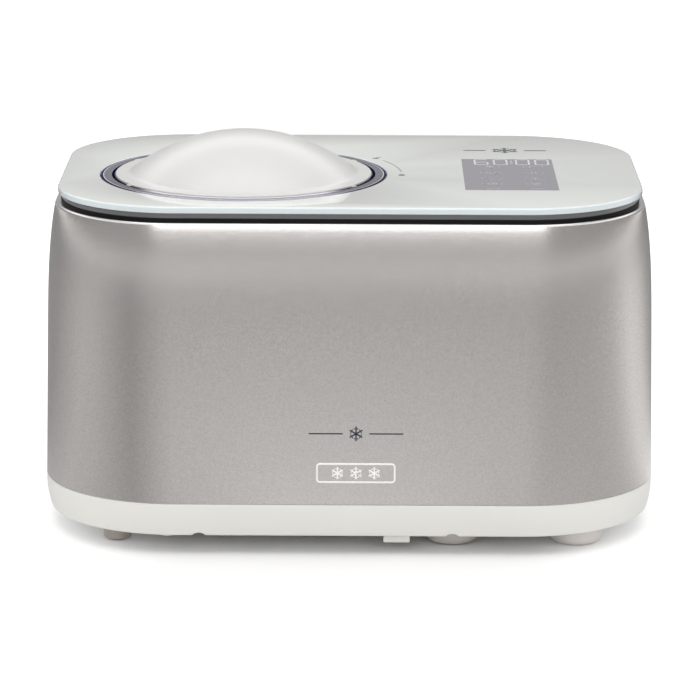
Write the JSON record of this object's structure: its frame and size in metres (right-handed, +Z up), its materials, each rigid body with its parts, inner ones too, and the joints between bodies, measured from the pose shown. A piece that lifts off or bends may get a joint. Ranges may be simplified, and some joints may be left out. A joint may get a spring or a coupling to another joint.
{
  "type": "ice cream maker",
  "caption": "Bench-top self-cooling ice cream maker: rounded metal body, glass touch top, domed turn-and-lift lid, lift-out bowl and paddle driven from below.",
  "frame": {"origin": "centre of the bounding box's base, on the floor under the feet", "axes": "+X to the right as seen by a person facing the front, +Y to the back, +Z up"},
  "size_m": [0.425, 0.3, 0.2702],
  "materials": {
    "casing_metal": "satin blasted stainless steel",
    "base_white": "off-white moulded plastic",
    "foot_taupe": "taupe plastic",
    "foot_pale": "pale grey-brown plastic",
    "pad_rubber": "soft rubber",
    "screw_steel": "zinc plated",
    "frame_black": "black plastic",
    "trim_grey": "glossy grey plastic",
    "deck_white": "white printed deck behind the glass",
    "glass": "toughened glass with a pale green edge",
    "lens_grey": "smoked display window",
    "board_green": "circuit board",
    "seat_plastic": "grey plastic",
    "switch_black": "black plastic",
    "plunger_red": "red plastic",
    "badge_silver": "bright rim, satin field",
    "grille_plastic": "pale plastic louvres",
    "gland_black": "flexible bush",
    "lid_clear": "clear tinted plastic",
    "lid_white": "white plastic",
    "seal_silicone": "pale silicone",
    "bowl_aluminium": "anodised, satin",
    "paddle_white": "white plastic",
    "pot_aluminium": "drawn aluminium",
    "copper": "drawn copper tube",
    "foam": "rigid foam",
    "bracket_steel": "zinc plated sheet",
    "gear_case": "glass-filled plastic",
    "bush_bronze": "sintered bronze",
    "seal_rubber": "lip seal",
    "shaft_steel": "ground steel",
    "gear_plastic": "acetal",
    "gear_brass": "machined brass",
    "lamination": "stacked steel laminations",
    "winding": "enamelled copper wire",
    "compressor_black": "black enamel",
    "cover_black": "black plastic",
    "fin_aluminium": "thin fins",
    "fan_black": "black plastic",
    "component_dark": "electronic parts"
  },
  "bodies": {
    "housing": {"outer_casing": "casing_metal", "base_tray": "base_white", "small_feet": "foot_taupe", "large_feet": "foot_pale", "foot_pads": "pad_rubber", "base_screws": "screw_steel", "top_frame": "frame_black", "trim_band": "trim_grey", "top_deck": "deck_white", "glass_top": "glass", "display_lens": "lens_grey", "display_board": "board_green", "lid_seat": "seat_plastic", "lid_switch": "switch_black", "front_badge": "badge_silver", "rear_grille": "grille_plastic", "cord_gland": "gland_black", "evaporator_pot": "pot_aluminium", "evaporator_coil": "copper", "insulation_upper": "foam", "insulation_lower": "foam", "chamber_bracket": "bracket_steel", "gearbox_case": "gear_case", "gearbox_cover": "gear_case", "shaft_bushes": "bush_bronze", "shaft_seal": "seal_rubber", "idler_pin": "shaft_steel", "motor_stator": "lamination", "motor_coils": "winding", "motor_bracket": "bracket_steel", "carrier_plate": "bracket_steel", "carrier_grommets": "seal_rubber", "compressor_shell": "compressor_black", "compressor_cover": "cover_black", "condenser_fins": "fin_aluminium", "condenser_tube": "copper", "fan_frame": "fan_black", "fan_motor": "fan_black", "filter_drier": "copper", "suction_pipe": "copper", "discharge_pipe": "copper", "liquid_pipe": "copper", "power_board": "board_green", "board_parts": "component_dark"},
    "bowl": {"bowl": "bowl_aluminium"},
    "paddle": {"paddle": "paddle_white"},
    "lid_gasket": {"lid_seal": "seal_silicone"},
    "lid": {"lid_rim": "lid_clear", "lid_skirt": "lid_clear", "lid_dome": "lid_white"},
    "output": {"drive_shaft": "shaft_steel", "output_gear": "gear_plastic"},
    "idler": {"idler_gear": "gear_plastic"},
    "motor": {"motor_rotor": "lamination", "motor_pinion": "gear_brass"},
    "fan": {"fan_rotor": "fan_black"},
    "plunger": {"switch_plunger": "plunger_red"}
  },
  "joints": [
    {"name": "bowl_lift", "type": "slide", "parent": "housing", "child": "bowl", "axis": [0, 0, 1], "range_m": [0, 0.16]},
    {"name": "paddle_spin", "type": "hinge", "parent": "bowl", "child": "paddle", "pos_m": [-0.075, -0.017, 0.15], "axis": [0, 0, 1], "continuous": true},
    {"name": "lid_lift", "type": "slide", "parent": "bowl", "child": "lid_gasket", "axis": [0, 0, 1], "range_m": [0, 0.12]},
    {"name": "lid_turn", "type": "hinge", "parent": "lid_gasket", "child": "lid", "pos_m": [-0.075, -0.017, 0.24], "axis": [0, 0, 1], "range_deg": [0, 35]},
    {"name": "output_spin", "type": "hinge", "parent": "housing", "child": "output", "pos_m": [-0.075, -0.017, 0.08], "axis": [0, 0, 1], "continuous": true},
    {"name": "idler_spin", "type": "hinge", "parent": "housing", "child": "idler", "pos_m": [-0.033, -0.017, 0.07], "axis": [0, 0, 1], "continuous": true},
    {"name": "motor_spin", "type": "hinge", "parent": "housing", "child": "motor", "pos_m": [-0.04531, 0.01683, 0.04], "axis": [0, 0, 1], "continuous": true},
    {"name": "fan_spin", "type": "hinge", "parent": "housing", "child": "fan", "pos_m": [0.114, 0.093, 0.108], "axis": [0, 1, 0], "continuous": true},
    {"name": "plunger_press", "type": "slide", "parent": "housing", "child": "plunger", "axis": [0, 0, -1], "range_m": [0, 0.001], "stiffness_N_per_m": 150, "springref_m": -0.001}
  ],
  "couplings": [
    {"joint": "idler_spin", "follows": "output_spin", "ratio": -6},
    {"joint": "motor_spin", "follows": "output_spin", "ratio": 30},
    {"joint": "paddle_spin", "follows": "output_spin", "ratio": 1}
  ]
}
